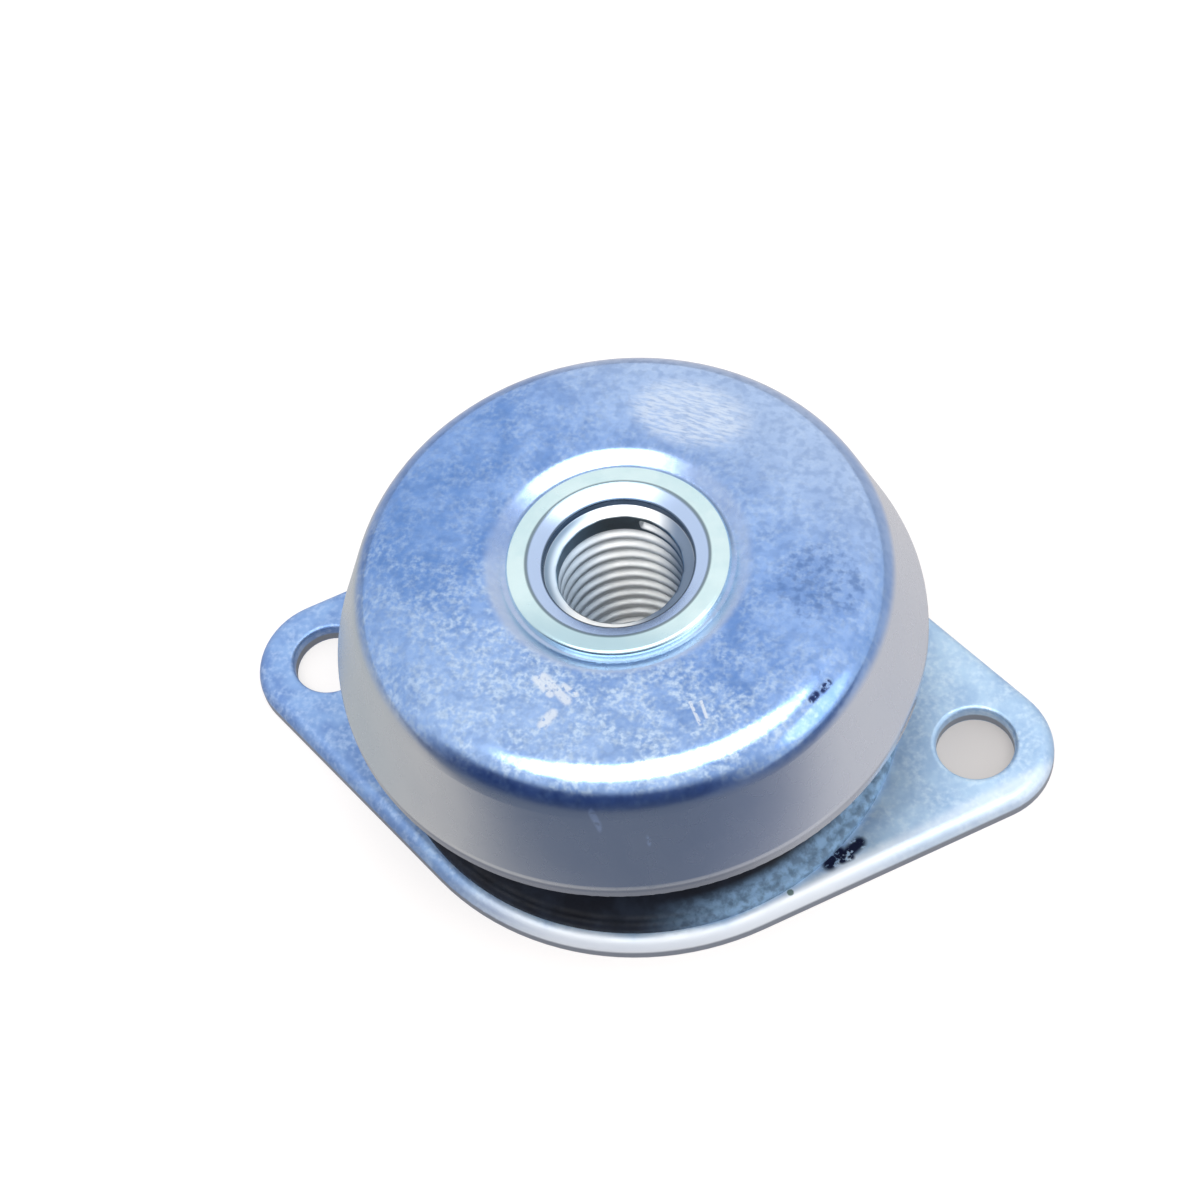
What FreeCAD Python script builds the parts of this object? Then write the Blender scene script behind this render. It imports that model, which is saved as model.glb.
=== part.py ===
import FreeCAD, Part
import math
import os
import Sketcher

# Engine mount of the bell type: a pressed two-hole base plate, a drawn steel bell, a threaded bush
# swaged into the dished middle of the bell, and one rubber body bonded between the three.
# Z is up, the underside of the plate is at Z = 0, and the axis of the thread is the Z axis.

# Driving dimensions in millimetres and degrees: name, value, meaning.
DIMENSIONS = (
    ("hole_spacing", 78.0, "distance between the two fixing holes"),
    ("hole_diameter", 9.0, "fixing hole for an M8 bolt"),
    ("ear_radius", 9.0, "outer radius of each ear round its hole"),
    ("flange_radius", 32.0, "outer radius of the plate round the middle"),
    ("plate_thickness", 2.5, "sheet of the base plate"),
    ("flange_edge_round", 1.6, "die roll along the upper outer edge of the plate"),
    ("hole_edge_round", 0.6, "die roll round the upper edge of each fixing hole"),
    ("collar_height", 10.5, "top of the drawn collar above the underside"),
    ("collar_mouth_radius", 16.5, "inner radius of the collar at its top"),
    ("collar_lean", 25.0, "angle of the collar wall from upright"),
    ("collar_bend", 1.5, "inside bend radius at the foot of the collar"),
    ("collar_edge_round", 0.4, "broken edges at the top of the collar"),
    ("mount_height", 33.0, "top of the bell above the underside"),
    ("cap_thickness", 2.0, "sheet of the bell"),
    ("lip_radius", 33.3, "outer radius of the bell at its lip"),
    ("bell_height", 15.0, "height of the bell from its lip to its top"),
    ("lip_land", 1.6, "upright land above the lip"),
    ("lip_edge_round", 0.3, "broken edges of the lip"),
    ("crease_bend", 1.0, "inside bend radius between land and skirt"),
    ("skirt_lean", 20.0, "angle of the skirt from upright"),
    ("shoulder_bend", 4.0, "inside bend radius between skirt and top"),
    ("dish_depth", 1.0, "depth of the dished middle below the top"),
    ("dish_slope", 28.0, "angle of the slope into the dish from level"),
    ("dish_bend", 0.6, "inside bend radius at both ends of that slope"),
    ("neck_radius", 10.6, "neck of the bush in the hole of the bell"),
    ("swage_radius", 12.3, "outer radius of the swaged ring"),
    ("swage_drop", 0.1, "swaged ring below the top of the bell"),
    ("swage_groove", 0.5, "open floor between swaged ring and slope"),
    ("swage_round", 0.6, "rounding of the swaged ring's outer edge"),
    ("bush_radius", 13.0, "outer radius of the bush below the bell"),
    ("bush_base_height", 6.0, "lower end of the bush above the underside"),
    ("bush_edge_chamfer", 0.8, "chamfer round the lower end of the bush"),
    ("sink_radius", 10.0, "mouth of the countersink"),
    ("sink_angle", 30.0, "slope of the countersink from level"),
    ("relief_radius", 8.25, "plain counterbore above the thread"),
    ("relief_depth", 1.2, "height of that counterbore"),
    ("thread_diameter", 16.0, "nominal diameter of the metric thread"),
    ("thread_pitch", 2.0, "pitch of the thread"),
    ("foot_margin", 0.2, "level plate left bare between rubber foot and die roll"),
    ("foot_edge_height", 1.3, "height of the rubber foot's edge"),
    ("foot_edge_round", 0.8, "rounding of the rubber foot's edge"),
    ("foot_shelf", 1.2, "level top of the rubber foot"),
    ("waist_depth", 4.6, "how far the rubber's outer side is hollowed"),
    ("lining_bare", 5.2, "skirt left bare inside, from the lip up to the rubber"),
    ("bush_bare", 9.5, "bush left bare, from its lower end up to the rubber"),
    ("inner_shelf", 1.2, "level width of rubber round the bush"),
    ("inner_round", 1.0, "rounding of that inner edge"),
    ("skin_thickness", 1.3, "rubber skin inside the collar"),
    ("skin_end_height", 3.0, "lower end of the rubber skin"),
)

# Thread depth of a metric internal thread as a share of its pitch.
THREAD_DEPTH_SHARE = 0.541266
# How far a cutting profile runs past the metal that it cuts.
CUT_PAST = 1.0
# How close a circular edge must be to the place that names it.
EDGE_TOLERANCE = 0.01

DOC = FreeCAD.newDocument("engine_mount")


def make_sheet():
    """Write the driving dimensions into the spreadsheet, one row each."""
    sheet = DOC.addObject("Spreadsheet::Sheet", "Size")
    for row, (alias, number, meaning) in enumerate(DIMENSIONS, start=1):
        sheet.set(f"A{row}", str(number))
        sheet.setAlias(f"A{row}", alias)
        sheet.set(f"B{row}", meaning)
    DOC.recompute()
    return sheet


SHEET = make_sheet()


def value(expression):
    """Return the number that an expression on the spreadsheet gives."""
    return float(SHEET.evalExpression(expression))


# Heights and radii that several pieces share, as expressions on the driving dimensions.
HALF_SPACING = "Size.hole_spacing / 2"
PLATE_MIDDLE = "Size.plate_thickness / 2"
LIP_HEIGHT = "(Size.mount_height - Size.bell_height)"
CREASE_HEIGHT = f"({LIP_HEIGHT} + Size.lip_land)"
DISH_FLOOR = "(Size.mount_height - Size.dish_depth)"
SHEET_BELOW_DISH = f"({DISH_FLOOR} - Size.cap_thickness)"
CAP_LINING = "(Size.mount_height - Size.cap_thickness)"
DISH_FLOOR_RADIUS = "(Size.swage_radius + Size.swage_groove)"
DISH_RIM_RADIUS = f"({DISH_FLOOR_RADIUS} + Size.dish_depth / tan(Size.dish_slope))"
FOOT_RADIUS = "(Size.flange_radius - Size.flange_edge_round - Size.foot_margin)"
FOOT_TOP = "(Size.plate_thickness + Size.foot_edge_height)"
WAIST_FOOT_RADIUS = f"({FOOT_RADIUS} - Size.foot_shelf)"
SEAT_HEIGHT = f"({LIP_HEIGHT} + Size.lining_bare)"
INNER_HEIGHT = "(Size.bush_base_height + Size.bush_bare)"


def skirt_radius(height, depth):
    """Radius of the skirt at a height, at a depth inside its outer face."""
    return (
        f"(Size.lip_radius - ({depth}) / cos(Size.skirt_lean)"
        f" - ({height} - {CREASE_HEIGHT}) * tan(Size.skirt_lean))"
    )


def dish_shift(depth):
    """How far outwards the corners of the dish lie at a depth inside the sheet."""
    return f"({depth}) * tan(Size.dish_slope / 2)"


def collar_radius(height, depth):
    """Radius of the collar at a height, at a depth outside its inner face."""
    return (
        f"(Size.collar_mouth_radius + ({depth}) / cos(Size.collar_lean)"
        f" + (Size.collar_height - ({height})) * tan(Size.collar_lean))"
    )


def waist_radius(low_radius, low_height, high_radius, high_height):
    """Radius of the arc that is hollowed by the waist depth between two points."""
    half_chord_squared = (
        f"(({high_radius} - {low_radius}) ^ 2 + ({high_height} - {low_height}) ^ 2) / 4"
    )
    return f"({half_chord_squared} + Size.waist_depth ^ 2) / (2 * Size.waist_depth)"


def origin_plane(body, role):
    """Find one of a body's own origin planes by its role."""
    for feature in body.Origin.OriginFeatures:
        if feature.Role == role:
            return feature
    raise ValueError(role)


def new_sketch(body, name, role):
    """Start a sketch on one of the body's origin planes."""
    sketch = body.newObject("Sketcher::SketchObject", name)
    sketch.AttachmentSupport = (origin_plane(body, role), [""])
    sketch.MapMode = "FlatFace"
    return sketch


def bind(sketch, constraint, expression):
    """Add a dimension to a sketch and bind it to an expression."""
    index = sketch.addConstraint(constraint)
    sketch.setExpression(f"Constraints[{index}]", expression)


def place_vertex(sketch, edge, point, radius, height):
    """Dimension one end of an edge from the axis and from the ground."""
    if radius == "0":
        sketch.addConstraint(Sketcher.Constraint("PointOnObject", edge, point, -2))
    else:
        bind(sketch, Sketcher.Constraint("DistanceX", -1, 1, edge, point, value(radius)), radius)
    if height == "0":
        sketch.addConstraint(Sketcher.Constraint("PointOnObject", edge, point, -1))
    else:
        bind(sketch, Sketcher.Constraint("DistanceY", -1, 1, edge, point, value(height)), height)


def profile_sketch(body, name, corners):
    """Draw a closed half section from corners given as (radius, height) expressions.

    A corner may hold a third expression, the radius of the arc that starts there: that edge is
    hollow towards the axis instead of straight. A sketch keeps an arc anticlockwise, so an upward
    hollow edge starts at its point 2 and ends at its point 1.
    """
    sketch = new_sketch(body, name, "XZ_Plane")
    points = [FreeCAD.Vector(value(corner[0]), value(corner[1]), 0) for corner in corners]
    arcs = {edge: corner[2] for edge, corner in enumerate(corners) if len(corner) > 2}
    for edge, start in enumerate(points):
        end = points[(edge + 1) % len(points)]
        if edge in arcs:
            sketch.addGeometry(hollow_arc(start, end, value(arcs[edge])), False)
        else:
            sketch.addGeometry(Part.LineSegment(start, end), False)
    for edge in range(len(points)):
        following = (edge + 1) % len(points)
        last = 1 if edge in arcs else 2
        first = 2 if following in arcs else 1
        sketch.addConstraint(Sketcher.Constraint("Coincident", edge, last, following, first))
    for edge, corner in enumerate(corners):
        place_vertex(sketch, edge, 2 if edge in arcs else 1, corner[0], corner[1])
    for edge, radius in arcs.items():
        bind(sketch, Sketcher.Constraint("Radius", edge, value(radius)), radius)
    return sketch


def hollow_arc(start, end, radius):
    """Arc from start to end whose middle lies nearer the axis than its chord."""
    chord = end - start
    middle = (start + end) * 0.5
    sideways = FreeCAD.Vector(chord.y, -chord.x, 0).normalize()
    centre = middle + sideways * math.sqrt(radius**2 - (chord.Length / 2) ** 2)
    crown = centre - sideways * radius
    return Part.Arc(start, crown, end)


def revolve(body, kind, name, sketch):
    """Turn a half section once round the Z axis, adding or removing material."""
    feature = body.newObject(kind, name)
    feature.Profile = sketch
    feature.ReferenceAxis = (sketch, ["V_Axis"])
    feature.Angle = 360.0
    DOC.recompute()
    return feature


def circle_edges(feature, places):
    """Names of the circular edges at the given (radius, height) places round the Z axis."""
    names = []
    for radius, height in places:
        wanted = (value(radius), value(height))
        for number, edge in enumerate(feature.Shape.Edges, start=1):
            if not isinstance(edge.Curve, Part.Circle):
                continue
            centre = edge.Curve.Center
            if math.hypot(centre.x, centre.y) > EDGE_TOLERANCE:
                continue
            if abs(edge.Curve.Radius - wanted[0]) > EDGE_TOLERANCE:
                continue
            if abs(centre.z - wanted[1]) < EDGE_TOLERANCE:
                names.append(f"Edge{number}")
    return names


def round_edges(body, kind, name, base, edges, size):
    """Fillet or chamfer the named edges of a body's feature."""
    if not edges:
        raise ValueError(f"{name}: no edge found")
    feature = body.newObject(kind, name)
    feature.Base = (base, edges)
    feature.setExpression("Radius" if kind.endswith("Fillet") else "Size", size)
    DOC.recompute()
    return feature


def bend(body, name, base, radius, height, size):
    """Round the circular corner at one place of a turned piece."""
    edges = circle_edges(base, [(radius, height)])
    return round_edges(body, "PartDesign::Fillet", name, base, edges, size)


def new_body(label):
    """Start the body of one sub-part, in the frame of the whole mount."""
    body = DOC.addObject("PartDesign::Body", label)
    body.Label = label
    body.Placement = FreeCAD.Placement()
    DOC.recompute()
    return body


def flange_outline(body):
    """Rhombic outline: two ears and two middle arcs joined by common tangents."""
    half = value(HALF_SPACING)
    ear = value("Size.ear_radius")
    middle = value("Size.flange_radius")
    turn = math.acos((middle - ear) / half)
    up = FreeCAD.Vector(0, 0, 1)

    def arc(x, radius, first, last):
        return Part.ArcOfCircle(Part.Circle(FreeCAD.Vector(x, 0, 0), up, radius), first, last)

    ring = [
        arc(half, ear, -turn, turn),
        None,
        arc(0, middle, turn, math.pi - turn),
        None,
        arc(-half, ear, math.pi - turn, math.pi + turn),
        None,
        arc(0, middle, math.pi + turn, 2 * math.pi - turn),
        None,
    ]
    for side in range(1, 8, 2):
        ring[side] = Part.LineSegment(ring[side - 1].EndPoint, ring[(side + 1) % 8].StartPoint)
    sketch = new_sketch(body, "PlateOutline", "XY_Plane")
    for edge in ring:
        sketch.addGeometry(edge, False)
    for side in range(8):
        sketch.addConstraint(Sketcher.Constraint("Tangent", side, 2, (side + 1) % 8, 1))
    for arc_number in (2, 6):
        sketch.addConstraint(Sketcher.Constraint("Coincident", arc_number, 3, -1, 1))
    for arc_number in (0, 4):
        sketch.addConstraint(Sketcher.Constraint("PointOnObject", arc_number, 3, -1))
    bind(sketch, Sketcher.Constraint("DistanceX", -1, 1, 0, 3, half), HALF_SPACING)
    bind(sketch, Sketcher.Constraint("DistanceX", 4, 3, -1, 1, half), HALF_SPACING)
    bind(sketch, Sketcher.Constraint("Radius", 0, ear), "Size.ear_radius")
    bind(sketch, Sketcher.Constraint("Radius", 2, middle), "Size.flange_radius")
    sketch.addConstraint(Sketcher.Constraint("Equal", 0, 4))
    sketch.addConstraint(Sketcher.Constraint("Equal", 2, 6))
    return sketch


def hole_sketch(body):
    """The two fixing holes, one on each side along X."""
    half = value(HALF_SPACING)
    radius = value("Size.hole_diameter / 2")
    sketch = new_sketch(body, "FixingHoles", "XY_Plane")
    for number, side in enumerate((1, -1)):
        circle = Part.Circle(FreeCAD.Vector(side * half, 0, 0), FreeCAD.Vector(0, 0, 1), radius)
        sketch.addGeometry(circle, False)
        sketch.addConstraint(Sketcher.Constraint("PointOnObject", number, 3, -1))
    bind(sketch, Sketcher.Constraint("DistanceX", -1, 1, 0, 3, half), HALF_SPACING)
    bind(sketch, Sketcher.Constraint("DistanceX", 1, 3, -1, 1, half), HALF_SPACING)
    bind(sketch, Sketcher.Constraint("Radius", 0, radius), "Size.hole_diameter / 2")
    sketch.addConstraint(Sketcher.Constraint("Equal", 0, 1))
    return sketch


def upper_outline_edges(feature):
    """Edges of the plate's upper face that belong to the outline, not to a hole."""
    top = value("Size.plate_thickness")
    hole = value("Size.hole_diameter / 2")
    reach = value("Size.flange_radius")
    ear = value("Size.ear_radius")
    names = []
    for number, edge in enumerate(feature.Shape.Edges, start=1):
        box = edge.BoundBox
        if abs(box.ZMin - top) > EDGE_TOLERANCE or abs(box.ZMax - top) > EDGE_TOLERANCE:
            continue
        if isinstance(edge.Curve, Part.Circle):
            radius = edge.Curve.Radius
            on_outline = min(abs(radius - reach), abs(radius - ear)) < EDGE_TOLERANCE
            if not on_outline or abs(radius - hole) < EDGE_TOLERANCE:
                continue
        names.append(f"Edge{number}")
    return names


def hole_rim_edges(feature):
    """Upper edges of the two fixing holes."""
    top = value("Size.plate_thickness")
    hole = value("Size.hole_diameter / 2")
    names = []
    for number, edge in enumerate(feature.Shape.Edges, start=1):
        if isinstance(edge.Curve, Part.Circle) and abs(edge.Curve.Radius - hole) < EDGE_TOLERANCE:
            if abs(edge.Curve.Center.z - top) < EDGE_TOLERANCE:
                names.append(f"Edge{number}")
    return names


def make_base_plate():
    """Rhombic plate with two fixing holes and a leaning collar drawn up round its middle."""
    body = new_body("base_plate")
    plate = body.newObject("PartDesign::Pad", "Plate")
    plate.Profile = flange_outline(body)
    plate.setExpression("Length", "Size.plate_thickness")
    DOC.recompute()
    top = "Size.collar_height"
    wall = "Size.plate_thickness"
    collar_section = profile_sketch(body, "CollarSection", (
        (collar_radius("0", "0"), "0"),
        (collar_radius("0", wall), "0"),
        (collar_radius(top, wall), top),
        (collar_radius(top, "0"), top),
    ))
    revolve(body, "PartDesign::Revolution", "Collar", collar_section)
    above = f"(Size.collar_height + {CUT_PAST})"
    mouth_section = profile_sketch(body, "MouthSection", (
        ("0", "0"),
        (collar_radius("0", "0"), "0"),
        (collar_radius(above, "0"), above),
        ("0", above),
    ))
    mouth = revolve(body, "PartDesign::Groove", "Mouth", mouth_section)
    foot = (collar_radius(wall, wall), wall)
    entry = (collar_radius("0", "0"), "0")
    inside = bend(body, "CollarFootBend", mouth, *foot, "Size.collar_bend")
    outside = bend(body, "CollarEntryBend", inside, *entry, "Size.collar_bend + Size.plate_thickness")
    rim = circle_edges(outside, [(collar_radius(top, wall), top), (collar_radius(top, "0"), top)])
    rim = round_edges(body, "PartDesign::Fillet", "CollarRim", outside, rim, "Size.collar_edge_round")
    holes = body.newObject("PartDesign::Pocket", "Holes")
    holes.Profile = hole_sketch(body)
    holes.Type = "ThroughAll"
    holes.Reversed = True
    DOC.recompute()
    rolled = round_edges(
        body, "PartDesign::Fillet", "HoleDieRoll", holes, hole_rim_edges(holes), "Size.hole_edge_round"
    )
    edges = upper_outline_edges(rolled)
    round_edges(body, "PartDesign::Fillet", "EdgeDieRoll", rolled, edges, "Size.flange_edge_round")
    return body


def make_bell_cap():
    """Drawn sheet bell: dished middle, flat top, rounded shoulder, flared skirt, upright lip."""
    body = new_body("bell_cap")
    wall = "Size.cap_thickness"
    crease_drop = f"{wall} * tan(Size.skirt_lean / 2)"
    shoulder = (skirt_radius("Size.mount_height", "0"), "Size.mount_height")
    lining_shoulder = (skirt_radius(CAP_LINING, wall), CAP_LINING)
    crease = ("Size.lip_radius", CREASE_HEIGHT)
    lining_crease = (f"(Size.lip_radius - {wall})", f"({CREASE_HEIGHT} - {crease_drop})")
    rim = (DISH_RIM_RADIUS, "Size.mount_height")
    lining_rim = (f"({DISH_RIM_RADIUS} + {dish_shift(wall)})", CAP_LINING)
    floor = (DISH_FLOOR_RADIUS, DISH_FLOOR)
    lining_floor = (f"({DISH_FLOOR_RADIUS} + {dish_shift(wall)})", SHEET_BELOW_DISH)
    lip = ("Size.lip_radius", LIP_HEIGHT)
    lining_lip = (f"(Size.lip_radius - {wall})", LIP_HEIGHT)
    section = profile_sketch(body, "SheetSection", (
        ("Size.neck_radius", DISH_FLOOR), floor, rim, shoulder, crease, lip,
        lining_lip, lining_crease, lining_shoulder, lining_rim, lining_floor,
        ("Size.neck_radius", SHEET_BELOW_DISH),
    ))
    feature = revolve(body, "PartDesign::Revolution", "Sheet", section)
    bends = (
        ("Shoulder", shoulder, f"Size.shoulder_bend + {wall}"),
        ("ShoulderLining", lining_shoulder, "Size.shoulder_bend"),
        ("Crease", crease, f"Size.crease_bend + {wall}"),
        ("CreaseLining", lining_crease, "Size.crease_bend"),
        ("DishRim", rim, f"Size.dish_bend + {wall}"),
        ("DishRimLining", lining_rim, "Size.dish_bend"),
        ("DishFloor", floor, "Size.dish_bend"),
        ("DishFloorLining", lining_floor, f"Size.dish_bend + {wall}"),
    )
    for name, (radius, height), size in bends:
        feature = bend(body, name, feature, radius, height, size)
    edges = circle_edges(feature, [lip, lining_lip])
    round_edges(body, "PartDesign::Fillet", "LipEdges", feature, edges, "Size.lip_edge_round")
    return body


def make_threaded_bush():
    """Turned bush, swaged over in the dish of the bell; the bore is cut to the thread's crests."""
    body = new_body("threaded_bush")
    ring_top = "(Size.mount_height - Size.swage_drop)"
    sink_drop = "(Size.sink_radius - Size.relief_radius) * tan(Size.sink_angle)"
    relief_top = f"({ring_top} - {sink_drop})"
    relief_floor = f"({relief_top} - Size.relief_depth)"
    depth = f"{THREAD_DEPTH_SHARE} * Size.thread_pitch"
    crest = f"(Size.thread_diameter / 2 - {depth})"
    lead_in = f"(Size.relief_radius - {crest})"
    swage_edge = ("Size.swage_radius", ring_top)
    lower_edge = ("Size.bush_radius", "Size.bush_base_height")
    section = profile_sketch(body, "BushSection", (
        ("Size.sink_radius", ring_top), swage_edge, ("Size.swage_radius", DISH_FLOOR),
        ("Size.neck_radius", DISH_FLOOR), ("Size.neck_radius", SHEET_BELOW_DISH),
        ("Size.bush_radius", SHEET_BELOW_DISH), lower_edge,
        ("Size.relief_radius", "Size.bush_base_height"),
        (crest, f"(Size.bush_base_height + {lead_in})"),
        (crest, f"({relief_floor} - {lead_in})"),
        ("Size.relief_radius", relief_floor), ("Size.relief_radius", relief_top),
    ))
    turned = revolve(body, "PartDesign::Revolution", "Turning", section)
    swaged = bend(body, "SwagedEdge", turned, *swage_edge, "Size.swage_round")
    edges = circle_edges(swaged, [lower_edge])
    round_edges(body, "PartDesign::Chamfer", "LowerEdge", swaged, edges, "Size.bush_edge_chamfer")
    return body


def make_rubber_element(metals):
    """Rubber that fills the mould between the metal pieces and grips all three.

    The blank's section runs inside the metal wherever the rubber is bonded, so that taking the
    metal away leaves faces that match it exactly.
    """
    blank = new_body("rubber_blank")
    half_sheet = "Size.cap_thickness / 2"
    middle = f"({CAP_LINING} + {half_sheet})"
    neck_middle = "((Size.neck_radius + Size.relief_radius) / 2)"
    foot_edge = (FOOT_RADIUS, FOOT_TOP)
    shoulder = (skirt_radius(middle, half_sheet), middle)
    shelf_edge = ("(Size.bush_radius + Size.inner_shelf)", INNER_HEIGHT)
    seat = (skirt_radius(SEAT_HEIGHT, "Size.cap_thickness"), SEAT_HEIGHT)
    skin = "-Size.skin_thickness"
    skin_end = "Size.skin_end_height"
    section = profile_sketch(blank, "RubberSection", (
        (FOOT_RADIUS, PLATE_MIDDLE),
        foot_edge,
        (WAIST_FOOT_RADIUS, FOOT_TOP, waist_radius(WAIST_FOOT_RADIUS, FOOT_TOP, *seat)),
        seat,
        (skirt_radius(SEAT_HEIGHT, half_sheet), SEAT_HEIGHT),
        shoulder,
        (f"({DISH_RIM_RADIUS} + {dish_shift(half_sheet)})", middle),
        (f"({DISH_FLOOR_RADIUS} + {dish_shift(half_sheet)})", f"({DISH_FLOOR} - {half_sheet})"),
        (neck_middle, f"({DISH_FLOOR} - {half_sheet})"),
        (neck_middle, INNER_HEIGHT),
        shelf_edge,
        (collar_radius("Size.collar_height", skin), "Size.collar_height"),
        (collar_radius(skin_end, skin), skin_end),
        (collar_radius(skin_end, PLATE_MIDDLE), skin_end),
        (f"({collar_radius(PLATE_MIDDLE, PLATE_MIDDLE)} + Size.plate_thickness / 2)", PLATE_MIDDLE),
    ))
    feature = revolve(blank, "PartDesign::Revolution", "RubberBlank", section)
    feature = bend(blank, "ShoulderMiddle", feature, *shoulder, f"Size.shoulder_bend + {half_sheet}")
    feature = bend(blank, "FootEdge", feature, *foot_edge, "Size.foot_edge_round")
    bend(blank, "InnerEdge", feature, *shelf_edge, "Size.inner_round")
    inserts = DOC.addObject("Part::MultiFuse", "MetalInserts")
    inserts.Shapes = metals
    rubber = DOC.addObject("Part::Cut", "rubber_element")
    rubber.Label = "rubber_element"
    rubber.Base = blank
    rubber.Tool = inserts
    rubber.Placement = FreeCAD.Placement()
    DOC.recompute()
    return rubber


def check_document():
    """Stop if any object of the document failed to compute."""
    for item in DOC.Objects:
        if "Invalid" in item.State or "Error" in item.State:
            raise RuntimeError(f"{item.Name}: {item.State}")


def export(pieces):
    """Check each sub-part and write it as a STEP file named after its label."""
    os.makedirs("parts", exist_ok=True)
    for piece in pieces:
        shape = piece.Shape
        if shape.isNull() or not shape.isValid() or len(shape.Solids) != 1:
            raise RuntimeError(f"{piece.Label}: bad shape, {len(shape.Solids)} solids")
    for piece in pieces:
        piece.Shape.exportStep(f"parts/{piece.Label}.step")
        print(f"{piece.Label}: {piece.Shape.Volume:.1f} mm3")


def main():
    """Build the four pieces, check them and write them."""
    metals = [make_base_plate(), make_bell_cap(), make_threaded_bush()]
    rubber = make_rubber_element(metals)
    DOC.recompute()
    check_document()
    export(metals + [rubber])


main()
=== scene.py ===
import math

import bmesh
import bpy
from mathutils import Matrix, Vector


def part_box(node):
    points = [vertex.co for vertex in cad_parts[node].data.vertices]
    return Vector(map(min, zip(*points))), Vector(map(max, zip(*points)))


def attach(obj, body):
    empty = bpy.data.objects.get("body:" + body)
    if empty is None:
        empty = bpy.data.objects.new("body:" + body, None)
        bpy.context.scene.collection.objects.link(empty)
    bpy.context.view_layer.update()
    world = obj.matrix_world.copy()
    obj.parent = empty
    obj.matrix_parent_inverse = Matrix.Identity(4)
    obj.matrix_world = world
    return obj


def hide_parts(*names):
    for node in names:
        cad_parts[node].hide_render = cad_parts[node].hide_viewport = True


# Looks of a bell-type engine mount: zinc-plated base plate and bell, a threaded bush swaged into
# the bell, and the black rubber between them. Sizes are in millimetres until they enter a mesh.

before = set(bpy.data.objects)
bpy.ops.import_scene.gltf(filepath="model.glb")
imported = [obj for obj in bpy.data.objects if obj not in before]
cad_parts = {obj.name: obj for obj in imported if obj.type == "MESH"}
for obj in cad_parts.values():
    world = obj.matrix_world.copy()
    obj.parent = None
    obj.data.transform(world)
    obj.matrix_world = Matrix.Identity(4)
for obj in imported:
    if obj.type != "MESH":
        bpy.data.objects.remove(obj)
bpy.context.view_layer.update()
MM = 0.001
TURN = 2 * math.pi

# What the CAD nodes give, in millimetres.
BUSH_LOW, BUSH_HIGH = (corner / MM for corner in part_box("threaded_bush"))
BELL_LOW, BELL_HIGH = (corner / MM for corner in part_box("bell_cap"))
PLATE_LOW, PLATE_HIGH = (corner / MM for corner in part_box("base_plate"))
RUBBER_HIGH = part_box("rubber_element")[1] / MM

# Camera: its distance, direction and roll, the point it aims at, its lens and sensor, and the
# nearest distance that it shows.
CAMERA_DISTANCE = 292.0
CAMERA_ELEVATION = math.radians(56.66)
CAMERA_AZIMUTH = math.radians(21.84)
CAMERA_ROLL = math.radians(-11.52)
CAMERA_AIM = Vector((-5.83, 7.13, 12.0))
CAMERA_LENS = 75.03
CAMERA_SENSOR = 36.0
CAMERA_NEAR = 10.0

# Sheet and bush sizes that the visible meshes repeat from the CAD source.
EAR_RADIUS = 9.0
HOLE_RADIUS = 4.5
CAP_SHEET = 2.0
PLATE_SHEET = 2.5
PLATE_FACE = PLATE_LOW.z + PLATE_SHEET
SKIRT_LEAN = math.radians(20.0)
LIP_RADIUS = BELL_HIGH.x
LIP_LAND = 1.6
SHOULDER_BEND = 4.0
DISH_DEPTH = 1.0
NECK_RADIUS = 10.6
SWAGE_RADIUS = 12.3
DISH_RIM = 14.7
SINK_RADIUS = 10.0
SINK_ANGLE = math.radians(30.0)
RELIEF_RADIUS = 8.25
BUSH_CHAMFER = 0.8
SWAGE_ROUND = 0.6
SINK_ROUND = 0.2
RELIEF_ROUND = 0.15
COLLAR_MOUTH_RADIUS = 16.5
COLLAR_LEAN = math.radians(25.0)
COLLAR_BEND = 1.5
FOOT_SHELF = 1.2
FOOT_EDGE = 1.3
FOOT_ROUND = 0.8
WAIST_DEPTH = 4.6
LINING_BARE = 5.2
BUSH_BARE = 9.5
INNER_SHELF = 1.2
INNER_ROUND = 1.0
SKIN_THICKNESS = 1.3
SKIN_END = 3.0

# The blue of the top fades to the grey of the skirt round the shoulder, between two tilts.
SHOULDER_OUTER = SHOULDER_BEND + CAP_SHEET
FADE_TILTS = (math.radians(44.0), math.radians(64.0))
FADE_FIRST, FADE_LAST = (BELL_HIGH.z - SHOULDER_OUTER * (1 - math.cos(tilt)) for tilt in FADE_TILTS)

# Metric thread M16 x 2 below a counterbore. A sloping ledge leads from one to the other. The groove
# ends at an azimuth below a plain land, and beside that end the land reaches further down.
THREAD_MAJOR = 8.0
THREAD_CREST = 6.917
THREAD_PITCH = 2.0
THREAD_WEAR = 0.1
LEDGE_SLOPE = math.radians(20.0)
RELIEF_WALL = 0.9
FIRST_LAND = 0.3
LAND_REACH = 2.8
THREAD_END = math.radians(85.0)
RELIEF_TOP = BUSH_HIGH.z - (SINK_RADIUS - RELIEF_RADIUS) * math.tan(SINK_ANGLE)
RELIEF_FLOOR = RELIEF_TOP - RELIEF_WALL
LAND_LOW = RELIEF_FLOOR - LAND_REACH
LEDGE_DROP = (RELIEF_RADIUS - THREAD_CREST) * math.tan(LEDGE_SLOPE)
LAST_GROOVE = RELIEF_FLOOR - LEDGE_DROP - FIRST_LAND - THREAD_PITCH / 2
THREAD_START = THREAD_END - TURN * ((LAST_GROOVE - BUSH_LOW.z) / THREAD_PITCH - 0.5)

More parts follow.
